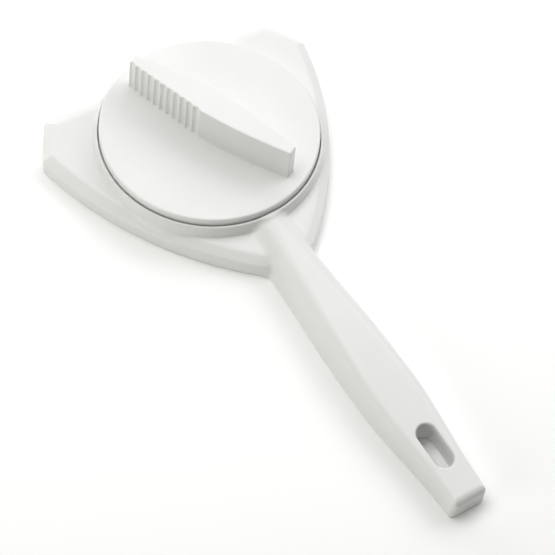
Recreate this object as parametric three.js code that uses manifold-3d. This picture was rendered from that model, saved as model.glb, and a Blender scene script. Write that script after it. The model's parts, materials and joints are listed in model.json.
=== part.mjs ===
// Dial-tightened manual can opener. Millimetres, +Z up.
// It is modelled about the dial's axis at table level, with the handle along -Y, and the
// whole group is then moved so that the frame's origin is under the middle of the object.
import * as THREE from 'three';
import * as BufferGeometryUtils from 'three/addons/utils/BufferGeometryUtils.js';
import Module from 'manifold-3d';

const wasm = await Module();
wasm.setup();

// ---- driving dimensions -------------------------------------------------------------------
const GAP = 0.3; // clearance between pieces that meet
const RING = { lipRadius: 43.5, topRadius: 44.4, footRadius: 45.1, baseRadius: 47, top: 14.4 };
const PLATE = { wall: 6.2, top: 9, chamfer: 4.2, skirt: 2.1, flankRadius: 147, filletRadius: 10 };
const EAR = { front: [50.8, 40.3], rear: [60.3, 24.3], frontEdge: 39, root: [10.7, -59.5] };
const HANDLE = { start: -41, neck: -56, bellyFront: -116, bellyBack: -124, end: -178.3, wall: 2.2 };
const HANDLE_HALF = { neck: 9.9, belly: 11.8, end: 7.6 }; // half-widths at the foot
const HANDLE_TOP = { neck: 14, end: 10.6, fallStart: -90, crown: 0.5 };
const HANDLE_LEAN = { start: 0.24, end: 0.04 }; // how much the sides lean in
const HANDLE_CORNER = { start: 7.5, end: 2.2 }; // radius between side and top
const HANDLE_NOSE = { top: 3, side: 2.2 }; // rounding at the end face
const HOLLOW = { start: -66, end: -137 };
const RIBS = { across: [-83, -101, -119], thickness: 1.6, bottom: 1 };
const HANG_SLOT = { y: -155, length: 18.6, width: 8 };
const DECK = { top: 12, bottom: 10.2, bore: 9.6 };
const POCKET = { top: 5.6, radius: 44.8 }; // shallow pocket that takes the can's rim
const NECK_POCKET = { start: -50, end: -62, halfWidth: 8.3 };
const CHAMBER_RADIUS = 42; // room for the slides between the pocket and the deck
const CHANNEL = { start: 40, end: 54.6, top: 7.4, halfWidth: 4.9 };
const GUIDE_RIB = { start: 17, end: 43, thickness: 1.6 };
const DIAL = { radius: 43, top: 17.6, bottom: 12.7, under: 15.6, skirt: 1.9, edge: 0.6 };
const GRIP = { top: 34, halfLength: 37, middle: 6.3, near: 4.4, far: 0.3, turn: -62, wall: 1.9 };
const GRIP_CURVE = { power: 0.85, swell: 0.5, cornerLength: 0.9, cornerWidth: 1.2 };
const RIDGES = { count: 11, end: -2, depth: 0.5 };
const SCROLL = { top: 15.3, bottom: 12.3, radius: 40, hub: 7.5, hubEnd: 8.7, depth: 2.2 };
const PIN = { open: 36, closed: 18.5, radius: 1.3, top: 14.1, slotWidth: 3.6 };
const COLLAR = { radius: 2.5, height: 1.2 };
const DIAL_TRAVEL = 350 * Math.PI / 180;
const CHASSIS = { bottom: 4.5, top: 5.5, arm: 6.6, reach: 60.3, disc: 28, bore: 15.5 };
const CHASSIS_SLOT = { middle: 40.3, length: 22.6, width: 4.2 };
const SLIDE = { bottom: 5.7, top: 7.1, halfWidth: 4.5, inner: 32.6, outer: 53.6 };
const AXLE = { at: 49, radius: 1.5, bottom: 0.5, top: 6.9 };
const CLIP = { inner: 1.75, outer: 3.1, bottom: 0.7, top: 1.2, opening: 2.2 };
const ROLLER = { bottom: 1.5, top: 4.2, radius: 5.5, lip: 6.2, bore: 1.85, bevel: 0.25, lipHeight: 0.8 };
const CUTTER = { radius: 6.5, hub: 3.4, edge: 2.3, bevel: 1.1, rise: 0.8 };
const STUD = { at: 24, bossRadius: 3.2, radius: 1.6, hole: 1.9 };
const PIVOT = { hole: 2.2, holeTop: 27, boss: 4.2, tip: 26.5, headBottom: 6.1 };
const RETAINER = { inner: 2.2, outer: 12, bottom: 7.6, top: 8.5 };
const WAVE = { inner: 7.9, outer: 10.8, bottom: 8.9, top: 9.2 };
const BUSH = { inner: 7.8, outer: 9.3, flange: 11.6, bottom: 9.5, flangeTop: 10.1, top: 12.1 };
const CHASSIS_SCREW_AT = 57.6; // distance of the screws from the dial's axis
const SCROLL_SCREW_AT = 13.4;
const CHASSIS_PILOT = { radius: 1.2, top: 7.9 };
const SCROLL_PILOT = { radius: 1.3, top: 16.8 };
const CHASSIS_SCREW = { headRadius: 2.4, headHeight: 1.15, shankRadius: 0.95, tip: 7.6 };
const SCROLL_SCREW = { headRadius: 2.1, headHeight: 1.1, shankRadius: 1, tip: 16.6 };
const PIVOT_SCREW = { headRadius: 4, headHeight: 1.3, shankRadius: 1.9, tip: PIVOT.tip };
const SCREW_HOLE = 1.5; // radius of the clear holes for the screws
const ARMS = { right: 30, left: 150, cutter: 270 }; // directions of the three slides, degrees
const FAR = 50; // past every face of the object, for cutting right through

const WHITE = 0xf0f0ee;
const STEEL = 0xb9bcc0;
const DARK_STEEL = 0x8f9499;
const ACETAL = 0xe6e4dc;

const rad = THREE.MathUtils.degToRad;

// ---- shape helpers ------------------------------------------------------------------------
function faceOut(geometry) {
  const p = geometry.attributes.position;
  const index = geometry.index.array;
  const [a, b, c] = [new THREE.Vector3(), new THREE.Vector3(), new THREE.Vector3()];
  let volume = 0;
  for (let i = 0; i < index.length; i += 3) {
    a.fromBufferAttribute(p, index[i]);
    b.fromBufferAttribute(p, index[i + 1]);
    c.fromBufferAttribute(p, index[i + 2]);
    volume += a.dot(b.cross(c));
  }
  if (volume < 0) {
    for (let i = 0; i < index.length; i += 3) {
      [index[i], index[i + 1]] = [index[i + 1], index[i]];
    }
  }
  return geometry;
}

function solid(geometry) {
  geometry.deleteAttribute('normal');
  geometry.deleteAttribute('uv');
  const merged = faceOut(BufferGeometryUtils.mergeVertices(geometry, 1e-4));
  return new wasm.Manifold(new wasm.Mesh({
    numProp: 3,
    vertProperties: new Float32Array(merged.attributes.position.array),
    triVerts: new Uint32Array(merged.index.array),
  }));
}

function geometryOf(body) {
  const mesh = body.getMesh();
  const geometry = new THREE.BufferGeometry();
  geometry.setAttribute('position', new THREE.BufferAttribute(mesh.vertProperties, 3));
  geometry.setIndex(new THREE.BufferAttribute(mesh.triVerts, 1));
  geometry.computeVertexNormals();
  return geometry;
}

// an upright prism of a closed outline of [x, y] points
function prism(points, bottom, top) {
  const shape = new THREE.Shape(points.map(([x, y]) => new THREE.Vector2(x, y)));
  const geometry = new THREE.ExtrudeGeometry(shape, { depth: top - bottom, bevelEnabled: false });
  return solid(geometry.translate(0, 0, bottom));
}

// an upright cylinder, or a cone frustum if two radii are given
function cylinder(radius, bottom, top, { x = 0, y = 0, segments = 24, topRadius = radius } = {}) {
  const geometry = new THREE.CylinderGeometry(topRadius, radius, top - bottom, segments);
  geometry.rotateX(Math.PI / 2).translate(x, y, (bottom + top) / 2);
  return solid(geometry);
}

// a body of revolution about the Z axis, from closed [radius, z] points
function revolve(profile, segments = 24) {
  const points = [...profile, profile[0]].map(([r, z]) => new THREE.Vector2(r, z));
  return solid(new THREE.LatheGeometry(points, segments).rotateX(Math.PI / 2));
}

// a closed skin over rings of [x, y, z] points that all have the same count
function loft(rings) {
  const count = rings[0].length;
  const middle = (ring) => [0, 1, 2].map((k) => ring.reduce((sum, p) => sum + p[k], 0) / count);
  const vertices = [...rings.flat(), middle(rings[0]), middle(rings.at(-1))];
  const [first, last] = [vertices.length - 2, vertices.length - 1];
  const faces = [];
  for (let j = 0; j < count; j += 1) {
    const next = (j + 1) % count;
    for (let i = 0; i + 1 < rings.length; i += 1) {
      const [a, b] = [i * count + j, i * count + next];
      faces.push(a, b, b + count, a, b + count, a + count);
    }
    const top = (rings.length - 1) * count;
    faces.push(first, next, j, last, top + j, top + next);
  }
  const geometry = new THREE.BufferGeometry();
  geometry.setAttribute('position', new THREE.Float32BufferAttribute(vertices.flat(), 3));
  geometry.setIndex(faces);
  return solid(geometry);
}

function arc(cx, cy, radius, from, to, steps) {
  const points = [];
  for (let i = 0; i <= steps; i += 1) {
    const angle = rad(from + (to - from) * i / steps);
    points.push([cx + radius * Math.cos(angle), cy + radius * Math.sin(angle)]);
  }
  return points;
}

// the outline moved inwards by a distance, with mitred corners (outline runs anticlockwise)
function inset(points, distance) {
  return points.map(([x, y], i) => {
    const [px, py] = points.at(i - 1);
    const [nx, ny] = points[(i + 1) % points.length];
    const before = new THREE.Vector2(x - px, y - py).normalize();
    const after = new THREE.Vector2(nx - x, ny - y).normalize();
    const inward = new THREE.Vector2(-before.y - after.y, before.x + after.x);
    const scale = 2 * distance / inward.lengthSq();
    return [x + inward.x * scale, y + inward.y * scale];
  });
}

function rectangle(x0, x1, y0, y1) {
  return [[x0, y0], [x1, y0], [x1, y1], [x0, y1]];
}

// a slot with round ends along Y
function pill(y, length, width, steps = 10) {
  const reach = (length - width) / 2;
  return [...arc(0, y + reach, width / 2, 0, 180, steps), ...arc(0, y - reach, width / 2, 180, 360, steps)];
}

function turned(body, degrees) {
  return body.rotate([0, 0, degrees]);
}

// the same shape in each of the three slide directions, drawn along +X
function threeTimes(body) {
  return turned(body, ARMS.right).add(turned(body, ARMS.left)).add(turned(body, ARMS.cutter));
}

function polar(radius, degrees) {
  return [radius * Math.cos(rad(degrees)), radius * Math.sin(rad(degrees))];
}

// ---- outlines -----------------------------------------------------------------------------
// flank: an arc of the plate's edge from the ear's rear corner to the handle's root
function flank(steps) {
  const [from, to] = [new THREE.Vector2(...EAR.rear), new THREE.Vector2(...EAR.root)];
  const chord = to.clone().sub(from);
  const half = chord.length() / 2;
  const inward = new THREE.Vector2(chord.y, -chord.x).normalize();
  const depth = Math.sqrt(PLATE.flankRadius ** 2 - half ** 2);
  const centre = from.clone().add(to).multiplyScalar(0.5).addScaledVector(inward, depth);
  const angle = (p) => THREE.MathUtils.radToDeg(Math.atan2(p.y - centre.y, p.x - centre.x));
  return arc(centre.x, centre.y, PLATE.flankRadius, angle(from), angle(to), steps);
}

// fillet between an ear's front edge and the ring's foot
function earFillet(steps) {
  const cy = EAR.frontEdge + PLATE.filletRadius;
  const reach = RING.baseRadius + PLATE.filletRadius;
  const cx = Math.sqrt(reach ** 2 - cy ** 2);
  const end = 180 + THREE.MathUtils.radToDeg(Math.atan2(cy, cx));
  return arc(cx, cy, PLATE.filletRadius, end, 270, steps);
}

function plateOutline() {
  const right = [...flank(12).reverse(), EAR.front, ...earFillet(3).reverse()];
  const left = right.map(([x, y]) => [-x, y]).reverse();
  return [...right, ...left];
}

function handleHalfWidth(y) {
  const { neck, belly, end } = HANDLE_HALF;
  const widening = THREE.MathUtils.smoothstep(-y, -HANDLE.neck, -HANDLE.bellyFront);
  const taper = THREE.MathUtils.smoothstep(-y, -HANDLE.bellyBack, -HANDLE.end);
  return neck + (belly - neck) * widening + (end - belly) * taper;
}

function handleTop(y) {
  const fall = THREE.MathUtils.smoothstep(HANDLE_TOP.fallStart - y, 0, HANDLE_TOP.fallStart - HANDLE.end);
  return THREE.MathUtils.lerp(HANDLE_TOP.neck, HANDLE_TOP.end, fall);
}

// one upright cross-section of the handle: sides that lean in a little, rounded corners whose
// radius tightens towards the end, and a slightly crowned top
function handleSection(y, shrink, sole = 0, drop = shrink) {
  const along = (y - HANDLE.start) / (HANDLE.end - HANDLE.start);
  const lean = THREE.MathUtils.lerp(HANDLE_LEAN.start, HANDLE_LEAN.end, along);
  const corner = THREE.MathUtils.lerp(HANDLE_CORNER.start, HANDLE_CORNER.end, along);
  const radius = Math.max(corner - shrink, 0.5);
  const half = handleHalfWidth(y) - shrink;
  const top = handleTop(y) - drop;
  const z = top - HANDLE_TOP.crown - radius;
  const x = half - lean * z - radius * Math.hypot(1, lean);
  const right = [[half - lean * sole, sole]];
  for (let i = 0; i <= 6; i += 1) {
    const angle = THREE.MathUtils.lerp(Math.atan(lean), Math.PI / 2, i / 6);
    right.push([x + radius * Math.cos(angle), z + radius * Math.sin(angle)]);
  }
  for (const t of [2 / 3, 1 / 3]) right.push([x * t, top - HANDLE_TOP.crown * t * t]);
  const left = right.map(([px, pz]) => [-px, pz]).reverse();
  return [...right, [0, top], ...left].map(([px, pz]) => [px, y, pz]);
}

function handleLoft() {
  const nose = HANDLE_NOSE;
  const rings = [];
  const steps = 16;
  for (let i = 0; i <= steps; i += 1) {
    rings.push(handleSection(THREE.MathUtils.lerp(HANDLE.start, HANDLE.end + nose.top, i / steps), 0));
  }
  for (const angle of [20, 40, 60, 77, 90]) {
    const [back, round] = [1 - Math.sin(rad(angle)), 1 - Math.cos(rad(angle))];
    rings.push(handleSection(HANDLE.end + nose.top * back, nose.side * round, 0, nose.top * round));
  }
  return loft(rings);
}

// the inside of the handle between two places along it
function handleInside(from, to) {
  const steps = 8;
  const rings = [];
  for (let i = 0; i <= steps; i += 1) {
    rings.push(handleSection(THREE.MathUtils.lerp(from, to, i / steps), HANDLE.wall, -1));
  }
  return loft(rings);
}

// the ribbed hollow of the handle, which is open from below; the handle's end stays solid
function handleHollow() {
  let hollow = handleInside(HOLLOW.start, HOLLOW.end);
  const half = RIBS.thickness / 2;
  for (const y of RIBS.across) {
    hollow = hollow.subtract(prism(rectangle(-FAR, FAR, y - half, y + half), RIBS.bottom, FAR));
  }
  return hollow.subtract(prism(rectangle(-half, half, HOLLOW.end, 0), RIBS.bottom, FAR));
}

// S-shaped outline of the finger grip, along X; each half is half-turned into the other
function gripOutline(margin, ridged) {
  const half = GRIP.halfLength - margin;
  const side = [];
  const steps = ridged ? RIDGES.count * 4 : 6;
  const { end } = RIDGES;
  const { power, swell, cornerLength, cornerWidth } = GRIP_CURVE;
  for (let i = 0; i <= steps; i += 1) {
    const x = -half + (half + end) * i / steps;
    const t = (x + half) / (half + end);
    const ridge = ridged ? RIDGES.depth * (1 - Math.cos(2 * Math.PI * RIDGES.count * t)) / 2 : 0;
    const width = (GRIP.middle - margin) * t ** power + (1 - t) * (GRIP.far - margin * 0.2);
    side.push([x, -width - ridge]);
  }
  for (let i = 1; i <= 8; i += 1) {
    const t = i / 8;
    const width = THREE.MathUtils.lerp(GRIP.middle, GRIP.near, t ** 2) + swell * Math.sin(Math.PI * t);
    side.push([end + (half - cornerLength - end) * t, margin - width]);
  }
  side.push([half, margin - GRIP.near + cornerWidth]);
  return [...side, ...side.map(([x, y]) => [-x, -y])];
}

// spiral groove for one drive pin: the pin moves in as the dial turns clockwise
function grooveOutline(startDegrees) {
  const halfWidth = PIN.radius + GAP + 0.05;
  const steps = 36;
  const runOut = (halfWidth + GAP) / DIAL_TRAVEL;
  const [first, last] = [-runOut / PIN.open, 1 + runOut / PIN.closed];
  const [outer, inner] = [[], []];
  for (let i = 0; i <= steps; i += 1) {
    const t = THREE.MathUtils.lerp(first, last, i / steps);
    const radius = THREE.MathUtils.lerp(PIN.open, PIN.closed, t);
    const degrees = startDegrees + THREE.MathUtils.radToDeg(DIAL_TRAVEL * t);
    outer.push(polar(radius + halfWidth, degrees));
    inner.push(polar(radius - halfWidth, degrees));
  }
  return [...outer, ...inner.reverse()];
}

// ---- body ---------------------------------------------------------------------------------
function plate() {
  const outline = plateOutline();
  const at = (points, z) => points.map(([x, y]) => [x, y, z]);
  const top = inset(outline, PLATE.chamfer);
  return loft([at(outline, 0), at(outline, PLATE.wall), at(top, PLATE.top)]);
}

function bodyShell() {
  const ring = revolve([[0, 0], [RING.baseRadius, 0], [RING.baseRadius, PLATE.wall],
    [RING.footRadius, PLATE.top], [RING.topRadius, RING.top], [0, RING.top]], 72);
  let body = plate().add(ring).add(handleLoft());

  // shallow pocket for the can's rim, which runs on into the lobes and the handle's neck
  const { start, end, halfWidth } = NECK_POCKET;
  body = body.subtract(prism(inset(plateOutline(), PLATE.skirt), -1, POCKET.top))
    .subtract(prism(rectangle(-halfWidth, halfWidth, end, start), -1, POCKET.top))
    .subtract(cylinder(POCKET.radius, -1, POCKET.top, { segments: 48 }));

  // room over the slides: the middle chamber between guide ribs, and a channel in each lobe
  const ribOutline = rectangle(GUIDE_RIB.start, GUIDE_RIB.end, CHANNEL.halfWidth,
    CHANNEL.halfWidth + GUIDE_RIB.thickness);
  const rib = prism(ribOutline, POCKET.top, DECK.bottom + 1);
  const ribs = threeTimes(rib.add(rib.mirror([0, 1, 0])));
  const chamber = cylinder(CHAMBER_RADIUS, POCKET.top - 0.1, DECK.bottom, { segments: 48 });
  const channel = prism(rectangle(CHANNEL.start, CHANNEL.end, -CHANNEL.halfWidth, CHANNEL.halfWidth),
    POCKET.top - 0.1, CHANNEL.top);
  const boss = cylinder(STUD.bossRadius, POCKET.top, DECK.bottom + 1, { x: STUD.at });
  const stud = cylinder(STUD.radius, CHASSIS.bottom + 0.1, DECK.bottom + 1, { x: STUD.at, segments: 16 });
  const between = (shape) => turned(threeTimes(shape), 60);
  body = body.subtract(chamber.subtract(ribs).subtract(between(boss)))
    .subtract(threeTimes(channel)).add(between(stud));

  // deck under the dial, with a slot for each drive pin
  const slotMiddle = (PIN.open + PIN.closed) / 2;
  const slotLength = PIN.open - PIN.closed + PIN.slotWidth + 2 * GAP;
  const pinSlot = prism(pill(slotMiddle, slotLength, PIN.slotWidth), DECK.bottom - 0.2, DECK.top + 0.1);
  body = body.subtract(cylinder(RING.lipRadius, DECK.top, RING.top + 1, { segments: 72 }))
    .subtract(threeTimes(turned(pinSlot, -90)))
    .subtract(cylinder(DECK.bore, DECK.bottom - 0.2, DECK.top + 0.1, { segments: 36 }));

  const slot = prism(pill(HANG_SLOT.y, HANG_SLOT.length, HANG_SLOT.width), -FAR, FAR);
  const pilot = cylinder(CHASSIS_PILOT.radius, CHASSIS.top - 0.5, CHASSIS_PILOT.top,
    { x: CHASSIS_SCREW_AT, segments: 12 });
  return body.subtract(handleHollow()).subtract(slot).subtract(threeTimes(pilot));
}

// a pan-head screw at x, y that points up, with a cross recess in the underside of its head
function screw(x, y, headBottom, { headRadius, headHeight, shankRadius, tip }) {
  const head = cylinder(headRadius * 0.8, headBottom, headBottom + headHeight,
    { x, y, segments: 16, topRadius: headRadius });
  const [reach, half] = [headRadius * 0.55, 0.25];
  const [low, high] = [headBottom - 1, headBottom + headHeight * 0.5];
  const slot = prism(rectangle(x - reach, x + reach, y - half, y + half), low, high);
  const cross = prism(rectangle(x - half, x + half, y - reach, y + reach), low, high);
  const shank = cylinder(shankRadius, headBottom + headHeight - 0.1, tip, { x, y, segments: 12 });
  return head.subtract(slot.add(cross)).add(shank);
}

// three-armed plate with a radial slot in each arm for the axles
function chassisPlate() {
  const { bottom, top } = CHASSIS;
  let chassis = cylinder(CHASSIS.disc, bottom, top, { segments: 48 });
  const arm = prism(rectangle(CHASSIS.bore, CHASSIS.reach, -CHASSIS.arm, CHASSIS.arm), bottom, top);
  chassis = chassis.add(threeTimes(arm));
  const { middle, length, width } = CHASSIS_SLOT;
  const slot = prism(pill(middle, length, width, 8), bottom - 1, top + 1);
  const screwHole = cylinder(SCREW_HOLE, bottom - 1, top + 1, { x: CHASSIS_SCREW_AT, segments: 12 });
  const studHole = cylinder(STUD.hole, bottom - 1, top + 1, { x: STUD.at, segments: 16 });
  return chassis.subtract(threeTimes(turned(slot, -90)))
    .subtract(cylinder(CHASSIS.bore, bottom - 1, top + 1, { segments: 36 }))
    .subtract(threeTimes(screwHole))
    .subtract(turned(threeTimes(studHole), 60));
}

// ---- dial ---------------------------------------------------------------------------------
function dial() {
  const disc = revolve([[0, DIAL.under], [DIAL.radius - DIAL.skirt, DIAL.under],
    [DIAL.radius - DIAL.skirt, DIAL.bottom], [DIAL.radius, DIAL.bottom],
    [DIAL.radius, DIAL.top - DIAL.edge], [DIAL.radius - DIAL.edge, DIAL.top], [0, DIAL.top]], 72);
  const grip = turned(prism(gripOutline(0, true), DIAL.top - 1, GRIP.top), GRIP.turn);
  const roof = GRIP.top - GRIP.wall;
  const inside = prism(gripOutline(GRIP.wall, false), DIAL.under - 1, roof)
    .subtract(cylinder(PIVOT.boss, DIAL.under - 2, roof + 1, { segments: 20 }));
  const screwHole = cylinder(PIVOT.hole, DIAL.under - 2, PIVOT.holeTop, { segments: 16 });
  const pilot = cylinder(SCROLL_PILOT.radius, DIAL.under - 1, SCROLL_PILOT.top,
    { x: SCROLL_SCREW_AT, segments: 12 });
  return disc.add(grip).subtract(turned(inside, GRIP.turn)).subtract(screwHole)
    .subtract(threeTimes(pilot));
}

function scrollPlate() {
  let scroll = cylinder(SCROLL.radius, SCROLL.bottom, SCROLL.top, { segments: 60 })
    .add(cylinder(SCROLL.hub, SCROLL.hubEnd, SCROLL.top, { segments: 36 }));
  const [low, high] = [SCROLL.bottom - 1, SCROLL.bottom + SCROLL.depth];
  for (const direction of Object.values(ARMS)) {
    scroll = scroll.subtract(prism(grooveOutline(direction), low, high));
  }
  const seatTop = SCROLL.bottom + 0.2 + SCROLL_SCREW.headHeight + 0.2;
  const seat = cylinder(SCROLL_SCREW.headRadius + GAP, SCROLL.bottom - 1, seatTop,
    { x: SCROLL_SCREW_AT, segments: 16 });
  const hole = cylinder(SCREW_HOLE, SCROLL.bottom - 1, SCROLL.top + 1, { x: SCROLL_SCREW_AT, segments: 12 });
  return scroll.subtract(threeTimes(seat.add(hole)))
    .subtract(cylinder(PIVOT.hole, SCROLL.hubEnd - 1, SCROLL.top + 1, { segments: 16 }));
}

function ringPart({ inner, outer, bottom, top }, segments = 24) {
  return revolve([[inner, bottom], [outer, bottom], [outer, top], [inner, top]], segments);
}

// flanged bush in the deck's bore
function deckBush() {
  const { inner, outer, flange, bottom, flangeTop, top } = BUSH;
  return revolve([[inner, bottom], [flange, bottom], [flange, flangeTop], [outer, flangeTop],
    [outer, top], [inner, top]], 30);
}

// ---- slides, pins, rollers and cutter, drawn along +X -------------------------------------
function slideBar() {
  const [tail, nose] = [SLIDE.inner + SLIDE.halfWidth, SLIDE.outer - SLIDE.halfWidth];
  const outline = [...arc(nose, 0, SLIDE.halfWidth, -90, 90, 10),
    ...arc(tail, 0, SLIDE.halfWidth, 90, 270, 10)];
  return prism(outline, SLIDE.bottom, SLIDE.top)
    .subtract(cylinder(PIN.radius + 0.25, SLIDE.bottom - 1, SLIDE.top + 1, { x: PIN.open, segments: 16 }))
    .subtract(cylinder(AXLE.radius + 0.25, SLIDE.bottom - 1, SLIDE.top + 1, { x: AXLE.at, segments: 16 }));
}

function drivePin() {
  const [collar, at] = [SLIDE.top + 0.15, { x: PIN.open, segments: 20 }];
  return cylinder(PIN.radius, SLIDE.bottom + 0.1, PIN.top, at)
    .add(cylinder(COLLAR.radius, collar, collar + COLLAR.height, at));
}

function axle() {
  return cylinder(AXLE.radius, AXLE.bottom, AXLE.top, { x: AXLE.at, segments: 20 });
}

// spring clip in the axle's end groove, open on one side
function axleClip() {
  const half = CLIP.opening / 2;
  const opening = prism(rectangle(AXLE.at, AXLE.at + 2 * CLIP.outer, -half, half), 0, CLIP.top + 1);
  return ringPart(CLIP, 20).translate([AXLE.at, 0, 0]).subtract(opening);
}

// free roller with a lip that goes under the can's rim
function guideRoller() {
  const { bottom, top, radius, lip, bore, bevel, lipHeight } = ROLLER;
  return revolve([[bore, bottom], [lip - bevel, bottom], [lip, bottom + bevel], [radius, bottom + lipHeight],
    [radius, top - bevel], [radius - bevel, top], [bore, top]], 24).translate([AXLE.at, 0, 0]);
}

function cuttingWheel() {
  const { radius, hub, edge, bevel, rise } = CUTTER;
  return revolve([[ROLLER.bore, ROLLER.bottom], [radius - bevel, ROLLER.bottom], [radius, edge],
    [radius - bevel, edge + rise], [hub, edge + rise], [hub, ROLLER.top], [ROLLER.bore, ROLLER.top]], 36)
    .translate([AXLE.at, 0, 0]);
}

// ---- assembly -----------------------------------------------------------------------------
const canOpener = new THREE.Group();

function add(name, body, color, roughness = 0.5, metalness = 0) {
  const material = new THREE.MeshStandardMaterial({ color, roughness, metalness });
  const mesh = new THREE.Mesh(geometryOf(body), material);
  mesh.name = name;
  canOpener.add(mesh);
}

add('body_shell', bodyShell(), WHITE);
add('chassis_plate', chassisPlate(), STEEL, 0.35, 1);
for (const [side, direction] of Object.entries(ARMS)) {
  const [x, y] = polar(CHASSIS_SCREW_AT, direction);
  const headBottom = CHASSIS.bottom - 0.15 - CHASSIS_SCREW.headHeight;
  add(`${side}_chassis_screw`, screw(x, y, headBottom, CHASSIS_SCREW), STEEL, 0.35, 1);
}
add('deck_bush', deckBush(), ACETAL, 0.45);

add('dial', dial(), WHITE);
add('scroll_plate', scrollPlate(), ACETAL, 0.45);
Object.values(ARMS).forEach((direction, i) => {
  const [x, y] = polar(SCROLL_SCREW_AT, direction);
  add(`scroll_screw_${i + 1}`, screw(x, y, SCROLL.bottom + 0.2, SCROLL_SCREW), STEEL, 0.35, 1);
});
add('pivot_screw', screw(0, 0, PIVOT.headBottom, PIVOT_SCREW), STEEL, 0.3, 1);
add('retaining_washer', ringPart(RETAINER), STEEL, 0.3, 1);
add('wave_washer', ringPart(WAVE), DARK_STEEL, 0.3, 1);

for (const [side, direction] of Object.entries(ARMS)) {
  add(`${side}_slide`, turned(slideBar(), direction), STEEL, 0.35, 1);
  add(`${side}_drive_pin`, turned(drivePin(), direction), DARK_STEEL, 0.3, 1);
  add(`${side}_axle`, turned(axle(), direction), DARK_STEEL, 0.3, 1);
  add(`${side}_axle_clip`, turned(axleClip(), direction), DARK_STEEL, 0.4, 1);
}
add('right_guide_roller', turned(guideRoller(), ARMS.right), STEEL, 0.25, 1);
add('left_guide_roller', turned(guideRoller(), ARMS.left), STEEL, 0.25, 1);
add('cutting_wheel', turned(cuttingWheel(), ARMS.cutter), STEEL, 0.2, 1);

canOpener.position.y = -(HANDLE.end + RING.baseRadius) / 2;

export default canOpener;
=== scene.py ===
"""Looks of the dial-tightened can opener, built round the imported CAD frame.

Lengths in this script are millimetres about the dial's axis at table level (+X right, -Y along the
handle, +Z up); place() turns them into metres in the row's frame. Moulded pieces are described as
distance fields, so that every edge and inner corner carries the radius that moulding gives it, and
are then meshed.
"""

import json
import math

import bmesh
import bpy
import numpy as np
from mathutils import Matrix, Vector


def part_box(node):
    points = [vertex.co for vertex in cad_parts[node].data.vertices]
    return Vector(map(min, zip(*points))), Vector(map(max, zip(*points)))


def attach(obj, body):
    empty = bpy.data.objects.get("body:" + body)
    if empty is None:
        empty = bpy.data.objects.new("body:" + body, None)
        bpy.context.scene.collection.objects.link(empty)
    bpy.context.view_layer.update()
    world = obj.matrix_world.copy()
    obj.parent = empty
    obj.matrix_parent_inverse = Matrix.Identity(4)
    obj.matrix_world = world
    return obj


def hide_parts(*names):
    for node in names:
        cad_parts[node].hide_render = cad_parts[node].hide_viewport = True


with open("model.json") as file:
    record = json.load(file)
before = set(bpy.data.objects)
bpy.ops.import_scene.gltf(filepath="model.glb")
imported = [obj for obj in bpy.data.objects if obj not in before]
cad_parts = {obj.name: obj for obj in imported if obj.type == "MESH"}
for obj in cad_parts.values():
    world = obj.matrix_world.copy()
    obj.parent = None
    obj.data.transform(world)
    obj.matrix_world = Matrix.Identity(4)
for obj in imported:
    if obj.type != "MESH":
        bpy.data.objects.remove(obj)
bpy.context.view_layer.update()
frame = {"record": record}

MM = 0.001

# ---- sizes, from the frame where it holds them -------------------------------------------------
dial_lo, dial_hi = (np.array(v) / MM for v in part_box("dial"))
body_lo, body_hi = (np.array(v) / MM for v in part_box("body_shell"))
AXIS_Y = (dial_lo[1] + dial_hi[1]) / 2

RING_TOP = body_hi[2]
RING_TOP_RADIUS, RING_FOOT_RADIUS, RING_BASE_RADIUS = 44.4, 45.1, body_hi[1] - AXIS_Y
WELL_RADIUS, DECK_TOP, DECK_BOTTOM, DECK_BORE = 43.4, 12.0, 10.2, 9.6
PLATE_WALL, PLATE_TOP, PLATE_CHAMFER, SKIRT = 6.2, 9.0, 4.2, 2.1
EAR_FRONT, EAR_REAR, EAR_EDGE_Y, ROOT = (50.8, 40.3), (60.3, 24.3), 39.0, (10.7, -59.5)
FLANK_RADIUS, EAR_FILLET, EAR_CORNER = 147.0, 10.0, 2.0
HANDLE_START, HANDLE_END = -41.0, body_lo[1] - AXIS_Y
HANDLE_NECK, BELLY_FRONT, BELLY_BACK, NECK_HALF, BELLY_HALF, END_HALF = -56.0, -116.0, -124.0, 9.9, 11.8, 7.6
NECK_TOP, HANDLE_END_TOP, HANDLE_FALL_START, HANDLE_CROWN, HANDLE_WALL = 14.0, 10.6, -90.0, 0.5, 2.2
LEAN, CORNER, NOSE_TOP, NOSE_SIDE = (0.24, 0.04), (7.5, 2.2), 3.0, 2.2
HOLLOW_START, HOLLOW_END = -66.0, -137.0
RIBS_Y, RIB_THICKNESS, RIB_BOTTOM = (-83, -101, -119), 1.6, 1.0
SLOT_Y, SLOT_LENGTH, SLOT_WIDTH = -155.0, 18.6, 8.0
POCKET_TOP, POCKET_RADIUS, CHAMBER_RADIUS = 5.6, 44.8, 42.0
NECK_POCKET_HALF, NECK_POCKET_START, NECK_POCKET_END = 8.3, -50.0, -62.0
CHANNEL_TOP, CHANNEL_HALF, CHANNEL_START, CHANNEL_END = 7.4, 4.9, 40.0, 54.6
GUIDE_START, GUIDE_END, GUIDE_THICKNESS = 17.0, 43.0, 1.6
STUD_AT, STUD_RADIUS, STUD_BOSS, STUD_HOLE, STUD_BOTTOM, STUD_TOP = 24.0, 1.6, 3.2, 1.9, 4.6, 11.0
DIAL_RADIUS, DIAL_TOP, DIAL_BOTTOM, DIAL_UNDER, DIAL_SKIRT = 42.9, 17.6, 12.7, 15.6, 1.9
GRIP_TOP, GRIP_HALF, GRIP_TURN, GRIP_WALL, GRIP_CROWN, GRIP_DRAFT = dial_hi[2], 37.0, -62, 1.9, 1.0, 0.012
GRIP_MIDDLE, GRIP_NEAR, GRIP_FAR, GRIP_POWER, GRIP_SWELL = 6.3, 4.4, 0.3, 0.85, 0.5
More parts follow.
